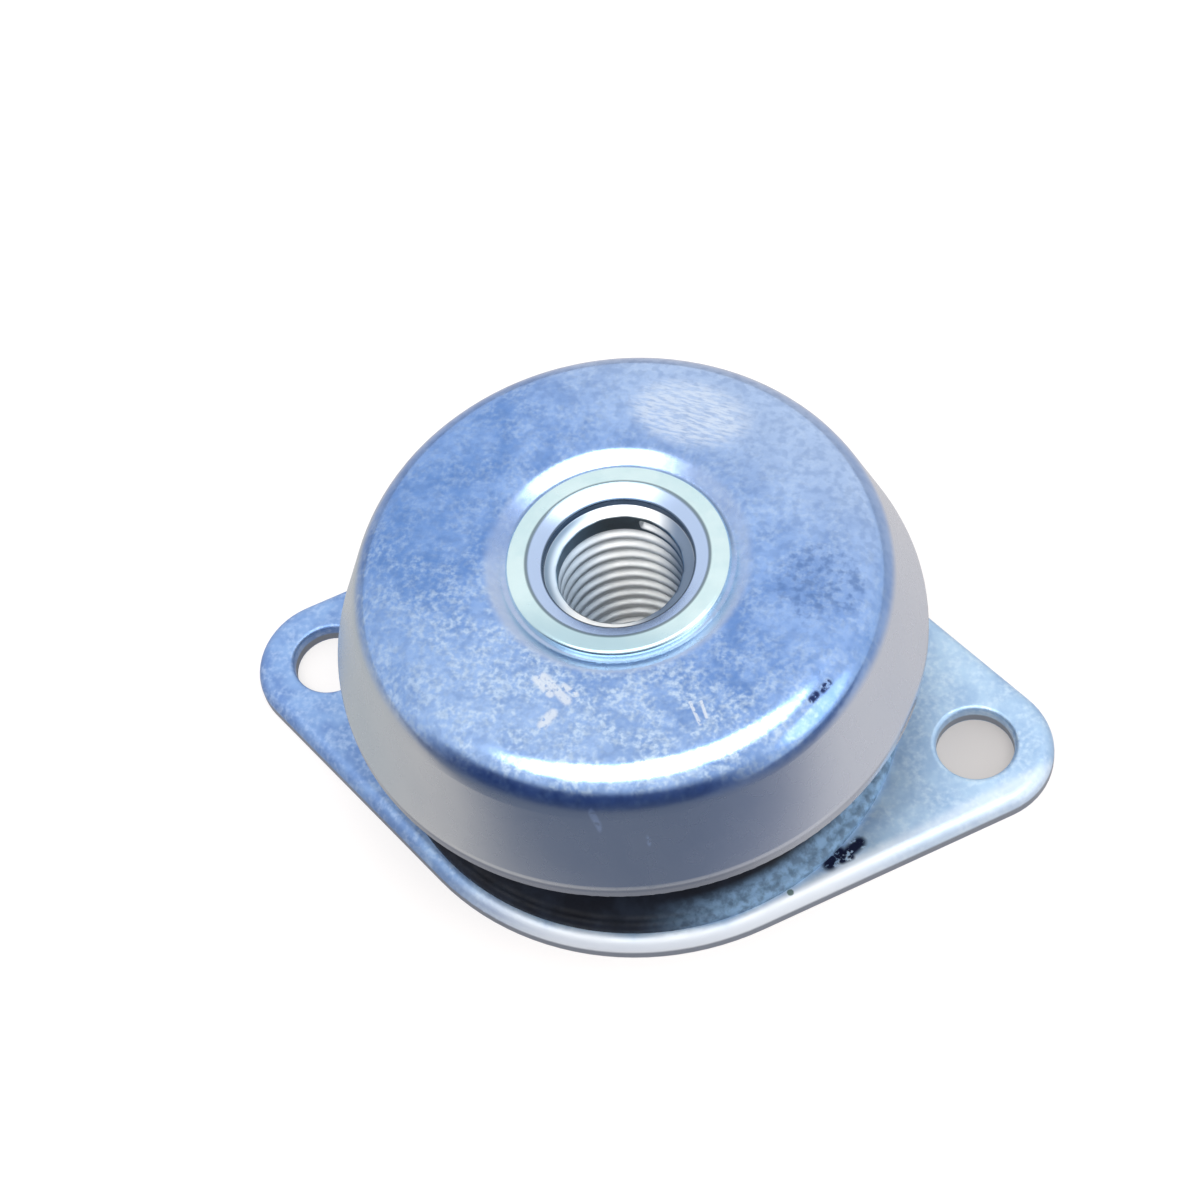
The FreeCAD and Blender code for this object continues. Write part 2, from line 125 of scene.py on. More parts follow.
# Meshes: points round the axis, down one pitch of the thread, along a rounded corner and along the
# waist, the distance within which points are merged, and the angles from which edges are sharp.
COLUMNS = 144
THREAD_STEPS = 16
ARC_POINTS = 7
WAIST_POINTS = 48
MERGE_DISTANCE = 1e-4
BUSH_SHARP = math.radians(50.0)
RUBBER_SHARP = math.radians(60.0)

# Flash of the mould on the rubber's waist: its height, and its place and width along the waist.
FLASH_HEIGHT = 0.1
FLASH_PLACE = 0.42
FLASH_WIDTH = 0.012

# The room: the azimuth of its darker side, how far that side spreads, and the room's two colours.
DARK_AZIMUTH = math.radians(-4.0)
DARK_FACING = (0.2, 0.75)
DARK_RISE = (0.1, 0.5)
DARK_SLOPE = 0.45
ROOM_PALE = (236, 244, 255)
ROOM_DARK = (66, 82, 118)

# Lamps: name, azimuth, elevation, distance, size, radiance and tint.
LAMPS = (
    ("overhead", 24, 77, 700, (860, 400), 3.4, (1.0, 1.0, 1.0)),
    ("window", 80, 22, 800, (420, 420), 1.0, (0.95, 0.98, 1.0)),
)

# The floor: pale paper, painted darker some way in front of the mount as painted shade, and the
# light that it adds to the picture, to the camera and in the metal.
FLOOR_REACH = 3000.0
FLOOR_GAP = 0.05
FLOOR_NEAR = (182, 174, 168)
FLOOR_FAR_PAINTED_SHADE = (104, 112, 130)
FLOOR_AZIMUTH = math.radians(13.0)
FLOOR_NEAR_REACH = 40.0
FLOOR_FAR_REACH = 76.0
FLOOR_FILL_NEAR = 0.6
FLOOR_FILL_FAR = 0.8
FLOOR_FILL_HOLE = 0.3
FLOOR_MIRRORED = 0.2

# Marks on the metal, seen from above in millimetres: two ends and a width each.
PALE_SCRATCHES = (
    ((-5.3, -16.3), (-3.4, -17.9), 0.6),
    ((-4.6, -15.9), (-1.5, -18.4), 0.75),
    ((-3.4, -21.6), (-2.7, -20.1), 0.8),
    ((-2.2, -16.7), (-0.8, -17.5), 0.5),
    ((11.3, -16.7), (12.8, -19.1), 0.26),
    ((12.4, -16.4), (13.3, -18.2), 0.24),
    ((3.1, -29.3), (3.9, -29.9), 0.4),
    ((8.8, -29.65), (8.9, -29.7), 0.3),
)
DARK_SCRATCHES = (
    ((23.5, -14.0), (23.9, -13.3), 0.5),
    ((24.4, -12.6), (24.9, -11.7), 0.5),
)
INK_SMEARS = (
    ((25.0, -17.9), (25.9, -16.3), 1.2),
    ((26.6, -16.5), (27.9, -14.7), 1.1),
    ((26.3, -17.2), (27.2, -16.6), 0.7),
)
WORN_CENTRE = (4.1, 20.0)
WORN_ALONG = (0.986, -0.168)
WORN_REACH = (7.6, 4.8)
STAINED_CENTRE = (22.0, -0.2)
STAINED_REACH = 5.2
SPOT_CENTRE = (21.3, -22.05)
SPOT_REACH = 0.45

# Level directions, seen from above: to the left and right, and to the near side with its flecks.
LEFT = (-1.0, 0.0)
RIGHT = (1.0, 0.0)
NEAR = (0.0, -1.0)
FLECKED = (-0.25, -0.97)

# Tints in sRGB: deep, pale and fleck of the plating, then the tints laid over it, several of them
# painted light, shade or reflection.
BELL_TINTS = ((110, 149, 212), (150, 184, 239), (204, 225, 249))
BELL_STAIN = (112, 144, 200)
BELL_MOTTLE = (90, 122, 176)
BELL_DISH_PAINTED_REFLECTION = (180, 194, 220)
BELL_GROOVE_PAINTED_SHADE = (70, 96, 116)
BELL_WORN = (220, 233, 251)
BELL_SHOULDER_PAINTED_REFLECTION = (136, 172, 226)
SKIRT_TINTS = ((188, 194, 200), (206, 209, 211))
SKIRT_LAND_PAINTED_SHADE = (120, 128, 144)
PALE_SCRATCH = (232, 240, 250)
DARK_SCRATCH = (44, 58, 104)
PLATE_LIT_TINTS = ((160, 190, 222), (184, 212, 236), (214, 232, 246))
PLATE_SHADED_TINTS = ((112, 146, 202), (142, 176, 224), (184, 208, 240))
PLATE_EDGE_HIGHLIGHT = (252, 254, 255)
PLATE_SIDE_PAINTED_SHADE = (146, 152, 162)
PLATE_SPOT = (120, 138, 132)
INK = (22, 30, 62)
BUSH_TINTS = ((208, 234, 239), (220, 242, 245), (232, 248, 250))
BUSH_CONE = (186, 206, 238)
BUSH_RIM_PAINTED_SHADE = (66, 84, 104)
BUSH_INSIDE = (250, 251, 250)
BUSH_LAND_PAINTED_SHADE = (64, 82, 92)
RUBBER_TINTS = ((12, 16, 28), (34, 42, 56))
RUBBER_PAINTED_SHEEN = (150, 184, 214)

# Painted light and shade on one side, standing for lighter and darker surroundings seen in the
# metal: a level direction, two distances along it, the share at the second, a tint.
# Painted light and shade on the bell's top: lighter to the near left and far right, darker to the
# left.
BELL_PAINTED_LIGHT_AND_SHADE = (
    (FLECKED, 8.0, 24.0, 0.35, (190, 216, 250)),
    (LEFT, 8.0, 26.0, 0.4, (92, 136, 200)),
    ((0.45, 0.89), 7.0, 25.0, 0.7, (190, 211, 242)),
)
# Painted reflection on the skirt: bluer to the left, lighter and bluer to the right.
SKIRT_PAINTED_REFLECTION = (
    (LEFT, 14.0, 30.0, 0.5, (168, 192, 206)),
    (RIGHT, 8.0, 26.0, 0.5, (216, 224, 242)),
)
# Painted shade on the near side of the bush's ring.
BUSH_PAINTED_SHADE = (
    (NEAR, 6.0, 11.0, 0.8, (178, 208, 220)),
)
# Painted light and shade in the bore: lighter and bluer to the left, dark blue to the right.
BORE_PAINTED_LIGHT_AND_SHADE = (
    (LEFT, 2.5, 7.0, 0.5, (166, 204, 236)),
    (RIGHT, 1.5, 5.5, 0.85, (74, 104, 138)),
)
# Painted shade on the left of the counterbore's wall.
RELIEF_PAINTED_SHADE = (
    (LEFT, 3.0, 7.0, 0.75, (96, 122, 148)),
)

# Painted highlight along the plate's front edge: the turns from the near direction that follow its
# outline, and the band inside that outline. Its rolled side, painted grey as painted shade, begins
# in a band below the plate's face.
EDGE_TURNS = (math.radians(-19.0), math.radians(19.0), math.radians(38.5))
EDGE_HIGHLIGHT_BAND = (2.3, 0.9)
ROLLED_BAND = (1.5, 1.1)

# Gloss: roughness, how far it wanders, and what drawing, turning and the painted edge highlight
# change.
BELL_ROUGHNESS = 0.17
BELL_WANDER = 0.012
DRAWN_ROUGHER = 0.1
PLATE_ROUGHNESS = 0.44
PLATE_METALLIC = 0.7
EDGE_HIGHLIGHT_LESS_METALLIC = 0.55
BUSH_ROUGHNESS = 0.24
BORE_ROUGHER = 0.32
WANDER = 0.035
RUBBER_ROUGHNESS = (0.5, 0.68)
RUBBER_SPECULAR = 0.3
FLOOR_ROUGHNESS = 0.9


def arc_points(centre, radius, first, last, count):
    """Points (r, z) on an arc about a centre, from one angle to another, both in radians."""
    steps = [first + (last - first) * step / (count - 1) for step in range(count)]
    return [(centre[0] + radius * math.cos(a), centre[1] + radius * math.sin(a)) for a in steps]


def rounded(before, corner, after, radius):
    """Points that round the corner of a profile with an arc of the given radius."""
    a = (Vector(before) - Vector(corner)).normalized()
    b = (Vector(after) - Vector(corner)).normalized()
    half = math.acos(max(-1.0, min(1.0, a.dot(b)))) / 2
    centre = Vector(corner) + (a + b).normalized() * (radius / math.sin(half))
    reach = radius / math.tan(half)
    start = Vector(corner) + a * reach - centre
    end = Vector(corner) + b * reach - centre
    first = math.atan2(start.y, start.x)
    turn = math.atan2(start.x * end.y - start.y * end.x, start.dot(end))
    return arc_points(centre, radius, first, first + turn, ARC_POINTS)


def new_mesh(name, build):
    """Make a smooth-shaded object from a function that fills a bmesh in millimetres."""
    mesh = bpy.data.meshes.new(name)
    shape = bmesh.new()
    build(shape)
    bmesh.ops.remove_doubles(shape, verts=shape.verts, dist=MERGE_DISTANCE)
    bmesh.ops.recalc_face_normals(shape, faces=shape.faces)
    bmesh.ops.scale(shape, vec=Vector((MM, MM, MM)), verts=shape.verts)
    for face in shape.faces:
        face.smooth = True
    shape.to_mesh(mesh)
    shape.free()
    made = bpy.data.objects.new(name, mesh)
    bpy.context.scene.collection.objects.link(made)
    return made


def add_rings(shape, rows, closed=False):
    """Faces between rows of vertices that each go once round the axis."""
    pairs = list(zip(rows, rows[1:]))
    if closed:
        pairs.append((rows[-1], rows[0]))
    for low, high in pairs:
        for column in range(len(low)):
            following = (column + 1) % len(low)
            shape.faces.new((low[column], low[following], high[following], high[column]))


def ring(shape, radius, height):
    """One row of vertices round the axis."""
    angles = [TURN * column / COLUMNS for column in range(COLUMNS)]
    return [shape.verts.new((radius * math.cos(a), radius * math.sin(a), height)) for a in angles]


def thread_radius(phase):
    """Radius of the thread at a phase of its pitch: 0 is the middle of a crest."""
    from_crest = abs((phase + 0.5) % 1.0 - 0.5) * THREAD_PITCH
    crest_half = THREAD_PITCH / 8
    flank = (from_crest - crest_half) * math.sqrt(3)
    return THREAD_CREST + min(max(flank, 0.0), THREAD_MAJOR - THREAD_CREST)


def worn_thread_radius(phase):
    """Radius of the thread with its corners eased."""
    beside = thread_radius(phase - THREAD_WEAR) + thread_radius(phase + THREAD_WEAR)
    return (beside + 2 * thread_radius(phase)) / 4


def bore_radius(angle, height):
    """Radius of the threaded bore, with the sloping ledge above and the chamfer below."""
    above = height - BUSH_LOW.z
    behind = (angle - THREAD_START) / TURN
    phase = above / THREAD_PITCH - behind
    groove = BUSH_LOW.z + THREAD_PITCH * (math.floor(phase) + 0.5 + behind)
    radius = worn_thread_radius(phase) if groove <= LAST_GROOVE else THREAD_CREST
    ledge = RELIEF_RADIUS - (RELIEF_FLOOR - height) / math.tan(LEDGE_SLOPE)
    lead_in = RELIEF_RADIUS - above
    return max(radius, ledge, lead_in)


def bush_profile():
    """Points (r, z) of the bush's outside, swaged ring, countersink and counterbore."""
    low, high = BUSH_LOW.z, BUSH_HIGH.z
    outer = BUSH_HIGH.x
    dish_floor = BELL_HIGH.z - DISH_DEPTH
    under_dish = dish_floor - CAP_SHEET
    swage_foot = (SWAGE_RADIUS, dish_floor)
    sink_mouth = (SINK_RADIUS, high)
    relief_mouth = (RELIEF_RADIUS, RELIEF_TOP)
    relief_foot = (RELIEF_RADIUS, RELIEF_FLOOR)
    crown = rounded(swage_foot, (SWAGE_RADIUS, high), sink_mouth, SWAGE_ROUND)
    return [
        (RELIEF_RADIUS, low),
        (outer - BUSH_CHAMFER, low),
        (outer, low + BUSH_CHAMFER),
        (outer, under_dish),
        (NECK_RADIUS, under_dish),
        (NECK_RADIUS, dish_floor),
        swage_foot,
        *crown,
        *rounded(crown[-1], sink_mouth, relief_mouth, SINK_ROUND),
        *rounded(sink_mouth, relief_mouth, relief_foot, RELIEF_ROUND),
        relief_foot,
    ]


def build_bush(shape):
    """Closed bush: the turned outside, and a bore with a real helical thread that ends abruptly."""
    add_rings(shape, [ring(shape, radius, height) for radius, height in bush_profile()])
    low = BUSH_LOW.z
    turns = math.ceil((RELIEF_FLOOR - low) / THREAD_PITCH) + 2
    walls = []
    for column in range(COLUMNS + 1):
        angle = TURN * column / COLUMNS
        wall = []
        for row in range(turns * THREAD_STEPS + 1):
            height = low + THREAD_PITCH * (row / THREAD_STEPS - 1 + column / COLUMNS)
            height = min(max(height, low), RELIEF_FLOOR)
            radius = bore_radius(angle, height)
            place = (radius * math.cos(angle), radius * math.sin(angle), height)
            wall.append(shape.verts.new(place))
        walls.append(wall)
    for left, right in zip(walls, walls[1:]):
        for row in range(len(left) - 1):
            shape.faces.new((left[row], right[row], right[row + 1], left[row + 1]))


def skirt_lining(height):
    """Radius of the bell's inner face at a height of its skirt."""
    crease = BELL_LOW.z + LIP_LAND
    sheet = CAP_SHEET / math.cos(SKIRT_LEAN)
    return LIP_RADIUS - sheet - (height - crease) * math.tan(SKIRT_LEAN)


def collar_face(height, depth):
    """Radius of the plate's collar at a height, at a depth outside its inner face."""
    lean = (PLATE_HIGH.z - height) * math.tan(COLLAR_LEAN)
    return COLLAR_MOUTH_RADIUS + depth / math.cos(COLLAR_LEAN) + lean


def waist(foot, seat):
    """Hollow outer side of the rubber, with the thin flash of the mould's parting line."""
    foot, seat = Vector(foot), Vector(seat)
    chord = seat - foot
    radius = (chord.length_squared / 4 + WAIST_DEPTH**2) / (2 * WAIST_DEPTH)
    outward = Vector((chord.y, -chord.x)).normalized()
    centre = (foot + seat) / 2 + outward * (radius - WAIST_DEPTH)
    half = math.asin(chord.length / 2 / radius)
    middle = math.atan2(-outward.y, -outward.x)
    points = []
    for step in range(WAIST_POINTS):
        share = step / (WAIST_POINTS - 1)
        angle = middle + half * (1 - 2 * share)
        flash = FLASH_HEIGHT * math.exp(-(((share - FLASH_PLACE) / FLASH_WIDTH) ** 2))
        reach = radius - flash
        points.append((centre.x + reach * math.cos(angle), centre.y + reach * math.sin(angle)))
    return points


def build_rubber(shape):
    """Closed rubber body between plate, bell and bush."""
    foot_top = PLATE_SHEET + FOOT_EDGE
    seat_height = BELL_LOW.z + LINING_BARE
    inner_height = BUSH_LOW.z + BUSH_BARE
    lining = BELL_HIGH.z - CAP_SHEET
    bush_face = BUSH_HIGH.x
    foot_edge = (RUBBER_HIGH.x, foot_top)
    foot_inner = (RUBBER_HIGH.x - FOOT_SHELF, foot_top)
    seat = (skirt_lining(seat_height), seat_height)
    shoulder = (skirt_lining(lining), lining)
    shelf = (bush_face + INNER_SHELF, inner_height)
    skin_top = (collar_face(PLATE_HIGH.z, -SKIN_THICKNESS), PLATE_HIGH.z)
    collar_foot = (collar_face(PLATE_SHEET, PLATE_SHEET), PLATE_SHEET)
    collar_edge = (collar_face(PLATE_HIGH.z, PLATE_SHEET), PLATE_HIGH.z)
    profile = [
        (RUBBER_HIGH.x, PLATE_SHEET),
        *rounded((RUBBER_HIGH.x, PLATE_SHEET), foot_edge, foot_inner, FOOT_ROUND),
        *waist(foot_inner, seat),
        *rounded(seat, shoulder, (bush_face, lining), SHOULDER_BEND),
        (bush_face, lining),
        (bush_face, inner_height),
        *rounded((bush_face, inner_height), shelf, skin_top, INNER_ROUND),
        skin_top,
        (collar_face(SKIN_END, -SKIN_THICKNESS), SKIN_END),
        (collar_face(SKIN_END, 0), SKIN_END),
        (COLLAR_MOUTH_RADIUS, PLATE_HIGH.z),
        collar_edge,
        *rounded(collar_edge, collar_foot, (RUBBER_HIGH.x, PLATE_SHEET), COLLAR_BEND),
    ]
    rows = [ring(shape, radius, height) for radius, height in profile]
    add_rings(shape, rows, closed=True)


def make_rubber():
    """The rubber body stands for its soft CAD node."""
    rubber = new_mesh("rubber_body", build_rubber)
    rubber.data.set_sharp_from_angle(angle=RUBBER_SHARP)
    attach(rubber, "root")
    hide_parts("rubber_element")
    return rubber


def make_bush():
    """The threaded bush stands for its CAD node, with the thread that the node leaves out."""
    bush = new_mesh("bush_with_thread", build_bush)
    bush.data.set_sharp_from_angle(angle=BUSH_SHARP)
    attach(bush, "root")
    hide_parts("threaded_bush")
    return bush


class Graph:
    """A node tree under construction."""

    def __init__(self, tree):
        self.tree = tree
        self.place = None

    def add(self, kind, **settings):
        """Add a node with some of its settings."""
        node = self.tree.nodes.new(kind)
        for key, setting in settings.items():
            setattr(node, key, setting)
        return node

    def feed(self, socket, source):
        """Link an output to a socket, or set the socket to a value."""
        if isinstance(source, bpy.types.NodeSocket):
            self.tree.links.new(source, socket)
        elif source is not None:
            socket.default_value = source

    def vector(self, operation, first, second=None, scale=None):
        """Vector maths, as a vector or as a number."""
        node = self.add("ShaderNodeVectorMath", operation=operation)
        self.feed(node.inputs[0], first)
        self.feed(node.inputs[1], second)
        if scale is not None:
            self.feed(node.inputs["Scale"], scale)
        number = operation in ("DOT_PRODUCT", "LENGTH", "DISTANCE")
        return node.outputs["Value" if number else "Vector"]

    def maths(self, operation, first, second=None, clamp=False):
        """Maths on one or two numbers."""
        node = self.add("ShaderNodeMath", operation=operation, use_clamp=clamp)
        self.feed(node.inputs[0], first)
        self.feed(node.inputs[1], second)
        return node.outputs["Value"]

    def times(self, first, second):
        """Product of two numbers."""
        return self.maths("MULTIPLY", first, second)

    def parts(self, vector):
        """The three parts of a vector."""
        node = self.add("ShaderNodeSeparateXYZ")
        self.feed(node.inputs[0], vector)
        return node.outputs[0], node.outputs[1], node.outputs[2]

    def noise(self, size, detail=2.0, rough=0.5, place=None):
        """Noise with a grain of a size in millimetres."""
        node = self.add("ShaderNodeTexNoise")
        self.feed(node.inputs["Vector"], place or self.place)
        node.inputs["Scale"].default_value = 1 / size
        node.inputs["Detail"].default_value = detail
        node.inputs["Roughness"].default_value = rough
        return node.outputs["Fac"]

    def span(self, source, low, high, to_low=0.0, to_high=1.0):
        """Map a value smoothly from one range to another, held at both ends."""
        node = self.add("ShaderNodeMapRange", clamp=True, interpolation_type="SMOOTHSTEP")
        self.feed(node.inputs["Value"], source)
        node.inputs["From Min"].default_value = low
        node.inputs["From Max"].default_value = high
        node.inputs["To Min"].default_value = to_low
        node.inputs["To Max"].default_value = to_high
        return node.outputs["Result"]

    def mix(self, factor, first, second):
        """Blend two colours, each a socket or an sRGB triple."""
        node = self.add("ShaderNodeMix", data_type="RGBA")
        self.feed(node.inputs["Factor"], factor)
        self.feed(node.inputs[6], colour(first))
        self.feed(node.inputs[7], colour(second))
        return node.outputs[2]

    def bump(self, height, strength, distance):
        """Normal for a height map of a strength, at a depth in millimetres."""
        node = self.add("ShaderNodeBump")
        node.inputs["Strength"].default_value = strength
        node.inputs["Distance"].default_value = distance * MM
        self.feed(node.inputs["Height"], height)
        return node.outputs["Normal"]


class Finish(Graph):
    """A material under construction, with coordinates in millimetres of the mount."""

    def __init__(self, name):
        self.material = bpy.data.materials.new(name)
        self.material.use_nodes = True
        super().__init__(self.material.node_tree)
        self.shader = self.tree.nodes["Principled BSDF"]
        coordinates = self.add("ShaderNodeTexCoord").outputs["Object"]
        self.place = self.vector("SCALE", coordinates, scale=1 / MM)
        self.across, self.along, self.height = self.parts(self.place)
        self.level = self.vector("MULTIPLY", self.place, (1.0, 1.0, 0.0))
        self.radius = self.vector("LENGTH", self.level)

    def ahead(self, direction):
        """Distance from the axis in a level direction."""
        return self.vector("DOT_PRODUCT", self.place, (*direction, 0.0))

    def side(self, direction, low, high, share=1.0):
        """Mask that grows to a share between two distances in a level direction."""
        return self.span(self.ahead(direction), low, high, 0.0, share)

    def shade(self, body, shades, where=None):
        """Lay painted light and shade over a colour, within a mask where one is given."""
        for direction, low, high, share, tint in shades:
            mask = self.side(direction, low, high, share)
            if where is not None:
                mask = self.times(mask, where)
            body = self.mix(mask, body, tint)
        return body

    def stroke(self, first, last, width):
        """Mask of a straight mark, seen from above, between two points."""
        along = Vector((*last, 0.0)) - Vector((*first, 0.0))
        offset = self.vector("SUBTRACT", self.level, (*first, 0.0))
        share = self.vector("DOT_PRODUCT", offset, along / along.length_squared)
        nearest = self.vector("SCALE", along, scale=self.maths("ADD", share, 0.0, clamp=True))
        return self.span(self.vector("DISTANCE", offset, nearest), width / 3, width, 1.0, 0.0)

    def strokes(self, marks, gap, solid):
        """Mask of several straight marks, broken up by noise between two levels."""
        masks = [self.stroke(*mark) for mark in marks]
        whole = masks[0]
        for mask in masks[1:]:
            whole = self.maths("MAXIMUM", whole, mask)
        return self.times(whole, self.span(self.noise(0.7, 3.0, 0.6), gap, solid))

    def spot(self, centre, reach, ragged):
        """Mask of a spot seen from above, with a ragged edge."""
        miss = self.vector("DISTANCE", self.level, (*centre, 0.0))
        edge = self.times(self.maths("SUBTRACT", self.noise(0.8, 3.0, 0.6), 0.5), ragged)
        return self.span(self.maths("ADD", miss, edge), reach * 0.7, reach, 1.0, 0.0)

    def worn_patch(self):
        """Mask of the pale patch of fine level streaks on the far side of the top."""
        offset = self.vector("SUBTRACT", self.level, (*WORN_CENTRE, 0.0))
        lengthwise = self.vector("DOT_PRODUCT", offset, (*WORN_ALONG, 0.0))
        crosswise = self.vector("DOT_PRODUCT", offset, (-WORN_ALONG[1], WORN_ALONG[0], 0.0))
        node = self.add("ShaderNodeCombineXYZ")
        self.feed(node.inputs[0], self.maths("DIVIDE", lengthwise, WORN_REACH[0]))
        self.feed(node.inputs[1], self.maths("DIVIDE", crosswise, WORN_REACH[1]))
        inside = self.span(self.vector("LENGTH", node.outputs[0]), 0.6, 1.1, 1.0, 0.0)
        rows = self.vector("MULTIPLY", node.outputs[0], (1.0, 3.2, 1.0))
        streaks = self.span(self.noise(0.26, 2.0, 0.6, rows), 0.4, 0.6, 0.25, 0.8)
        return self.times(inside, streaks)


def colour(value):
    """An sRGB triple from 0 to 255 as a linear colour; anything else as it is."""
    if not isinstance(value, tuple):
        return value
    shares = [part / 255 for part in value]
    linear = [s / 12.92 if s <= 0.04045 else ((s + 0.055) / 1.055) ** 2.4 for s in shares]
    return (*linear, 1.0)


def plating(finish, tints, flecks):
    """Tint of bright zinc plate: soft clouds between two tints, and a fine pale mottle."""
    deep, pale, fleck = tints
    clouds = finish.span(finish.noise(6.0, 3.0, 0.6), 0.36, 0.64)
    fine = finish.span(finish.noise(0.6, 2.0, 0.5), 0.28, 0.72)
    mottle = finish.span(finish.noise(2.4, 3.0, 0.6), 0.36, 0.66, 0.15, 1.0)
    specks = finish.maths("MULTIPLY", finish.times(fine, mottle), flecks, clamp=True)
    return finish.mix(specks, finish.mix(clouds, deep, pale), fleck)


def metal(finish, body, roughness, ripple=0.1):
    """Finish a zinc-plated metal with its tint, an uneven gloss and a slight ripple."""
    finish.feed(finish.shader.inputs["Base Color"], body)
    finish.feed(finish.shader.inputs["Roughness"], roughness)
    finish.shader.inputs["Metallic"].default_value = 1.0
    waves = finish.noise(1.6, 2.0, 0.5)
    finish.feed(finish.shader.inputs["Normal"], finish.bump(waves, ripple, 0.02))
    return finish.material


def uneven(finish, roughness, spread=WANDER):
    """Roughness that wanders a little about a value."""
    grain = finish.noise(2.6, 2.0, 0.5)
    return finish.span(grain, 0.3, 0.7, roughness - spread, roughness + spread)


def bell_top(finish, dish):
    """Tint of the bell's top: blue, with painted light and shade on its sides, its stain, its
    duller dish with a painted reflection in it, a painted shade in the groove round the swaged
    ring, its worn patch and a painted reflection along the right of the shoulder.
    """
    flecks = finish.span(finish.ahead(FLECKED), 2.0, 18.0, 0.4, 1.2)
    # Painted light and shade on the sides of the top.
    body = finish.shade(plating(finish, BELL_TINTS, flecks), BELL_PAINTED_LIGHT_AND_SHADE)
    stained = finish.spot(STAINED_CENTRE, STAINED_REACH, 4.0)
    body = finish.mix(finish.times(stained, 0.25), body, BELL_STAIN)
    mottle = finish.span(finish.noise(1.1, 2.0, 0.5), 0.34, 0.58, 1.0, 0.0)
    depth = finish.maths("ADD", finish.times(stained, 0.4), 0.25)
    body = finish.mix(finish.times(mottle, depth), body, BELL_MOTTLE)
    # Painted reflection: the dish greyer and lilac, most on the near side.
    dish_reflection = finish.span(finish.along, -8.0, 2.0, 0.85, 0.4)
    body = finish.mix(finish.times(dish, dish_reflection), body, BELL_DISH_PAINTED_REFLECTION)
    # Painted shade: a dark line in the groove round the swaged ring, on the far side only.
    groove_shade = finish.span(finish.radius, SWAGE_RADIUS + 0.1, SWAGE_RADIUS + 0.6, 0.6, 0.0)
    groove_shade = finish.times(groove_shade, finish.span(finish.along, 0.0, 6.0))
    body = finish.mix(groove_shade, body, BELL_GROOVE_PAINTED_SHADE)
    body = finish.mix(finish.worn_patch(), body, BELL_WORN)
    # Painted reflection: a blue band along the upper edge of the shoulder on the right.
    edge = finish.span(finish.height, FADE_FIRST - 0.2, FADE_FIRST + 0.8, 1.0, 0.0)
    return finish.mix(finish.times(edge, finish.side(RIGHT, 10.0, 22.0, 0.45)), body, BELL_SHOULDER_PAINTED_REFLECTION)


def bell_skirt(finish):
    """Tint of the bell's skirt, with painted reflection on its sides and painted shade on the land
    at its lip, strongest on the near side.
    """
    skirt = finish.mix(finish.noise(9.0, 1.0, 0.5), *SKIRT_TINTS)
    # Painted reflection on the skirt's sides.
    skirt = finish.shade(skirt, SKIRT_PAINTED_REFLECTION)
    crease = BELL_LOW.z + LIP_LAND
    # Painted shade on the land, strongest on the near side.
    land = finish.span(finish.height, crease - 0.2, crease + 0.2, 1.0, 0.0)
    land = finish.times(land, finish.span(finish.along, -31.0, -22.0, 0.9, 0.4))
    return finish.mix(land, skirt, SKIRT_LAND_PAINTED_SHADE)


def bell_finish():
    """Blue zinc plate on the bell's top, greyer and duller on the skirt."""
    finish = Finish("zinc_bell")
    dish = finish.span(finish.radius, DISH_RIM - 0.8, DISH_RIM + 0.4, 1.0, 0.0)
    # The skirt's grey begins lower down the shoulder on the right.
    lowered = finish.maths("ADD", finish.height, finish.side(RIGHT, 8.0, 24.0, 0.9))
    skirt_share = finish.span(lowered, FADE_LAST, FADE_FIRST, 1.0, 0.0)
    body = finish.mix(skirt_share, bell_top(finish, dish), bell_skirt(finish))
    scratches = finish.times(finish.strokes(PALE_SCRATCHES, 0.34, 0.5), 0.8)
    body = finish.mix(scratches, body, PALE_SCRATCH)
    body = finish.mix(finish.strokes(DARK_SCRATCHES, 0.38, 0.5), body, DARK_SCRATCH)
    duller = finish.times(finish.maths("ADD", skirt_share, dish), DRAWN_ROUGHER)
    gloss = finish.maths("ADD", uneven(finish, BELL_ROUGHNESS, BELL_WANDER), duller)
    return metal(finish, body, gloss, 0.06)


